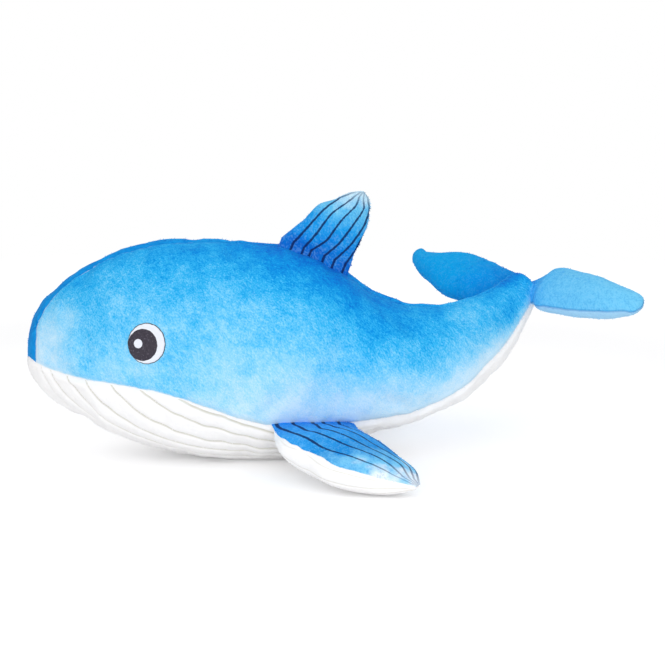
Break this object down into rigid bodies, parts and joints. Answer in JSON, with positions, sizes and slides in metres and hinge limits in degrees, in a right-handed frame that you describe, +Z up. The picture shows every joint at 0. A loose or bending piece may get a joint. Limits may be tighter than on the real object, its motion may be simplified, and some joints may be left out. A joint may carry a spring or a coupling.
{
  "type": "plush whale",
  "caption": "Stuffed plush whale, blue above and white below, with a ribbed belly, side fins, a dorsal fin, tail flukes and embroidered eyes; its tail and fins bend and spring back.",
  "frame": {"origin": "on the floor, in the middle of the flat patch that the belly rests on", "axes": "+X from the nose towards the tail, +Y to the whale's own right, +Z up"},
  "size_m": [0.4529, 0.2594, 0.1953],
  "materials": {
    "plush_blue": "short velvet pile, printed in watercolour blues",
    "plush_deep_blue": "short velvet pile",
    "fin_blue": "short velvet pile with printed navy lines",
    "plush_white": "short velvet pile, sewn into ribs",
    "filling": "loose polyester fibre",
    "thread_black": "satin embroidery thread",
    "thread_white": "satin embroidery thread"
  },
  "bodies": {
    "body": {"body_filling": "filling", "left_side_panel": "plush_blue", "right_side_panel": "plush_blue", "belly_panel": "plush_white", "head_gusset": "plush_deep_blue", "left_eye_outline": "thread_black", "left_eye_white": "thread_white", "left_eye_pupil": "thread_black", "left_eye_glint": "thread_white", "right_eye_outline": "thread_black", "right_eye_white": "thread_white", "right_eye_pupil": "thread_black", "right_eye_glint": "thread_white"},
    "tail": {"tail_filling": "filling", "left_tail_panel": "plush_blue", "right_tail_panel": "plush_blue", "tail_belly_panel": "plush_white"},
    "left_fluke": {"left_fluke_top_panel": "plush_blue", "left_fluke_under_panel": "plush_blue", "left_fluke_filling": "filling"},
    "right_fluke": {"right_fluke_top_panel": "plush_blue", "right_fluke_under_panel": "plush_blue", "right_fluke_filling": "filling"},
    "left_fin": {"left_fin_top_panel": "fin_blue", "left_fin_under_panel": "plush_white", "left_fin_filling": "filling"},
    "right_fin": {"right_fin_top_panel": "fin_blue", "right_fin_under_panel": "plush_white", "right_fin_filling": "filling"},
    "dorsal_fin": {"dorsal_fin_left_panel": "fin_blue", "dorsal_fin_right_panel": "fin_blue", "dorsal_fin_filling": "filling"}
  },
  "joints": [
    {"name": "tail_bend", "type": "hinge", "parent": "body", "child": "tail", "pos_m": [0.15781, 0.02577, 0.08235], "axis": [-0.3167, -0.2368, 0.9185], "range_deg": [-30, 30], "stiffness_Nm_per_rad": 0.2},
    {"name": "left_fluke_flap", "type": "hinge", "parent": "tail", "child": "left_fluke", "pos_m": [0.20971, 0.05335, 0.1131], "axis": [-0.5441, -0.6356, -0.5477], "range_deg": [-40, 40], "stiffness_Nm_per_rad": 0.06},
    {"name": "right_fluke_flap", "type": "hinge", "parent": "tail", "child": "right_fluke", "pos_m": [0.18435, 0.07505, 0.1131], "axis": [0.5441, 0.6356, 0.5477], "range_deg": [-40, 40], "stiffness_Nm_per_rad": 0.06},
    {"name": "left_fin_flap", "type": "hinge", "parent": "body", "child": "left_fin", "pos_m": [0.03261, -0.05318, 0.03165], "axis": [-0.9612, -0.2654, 0.0746], "range_deg": [-30, 45], "stiffness_Nm_per_rad": 0.08},
    {"name": "right_fin_flap", "type": "hinge", "parent": "body", "child": "right_fin", "pos_m": [0.0328, 0.05357, 0.03265], "axis": [0.9612, -0.2654, -0.0746], "range_deg": [-39, 36], "stiffness_Nm_per_rad": 0.08},
    {"name": "dorsal_fin_lean", "type": "hinge", "parent": "body", "child": "dorsal_fin", "pos_m": [0.04289, -0.00011, 0.1508], "axis": [0.9264, -0.0038, -0.3766], "range_deg": [-45, 45], "stiffness_Nm_per_rad": 0.03}
  ]
}
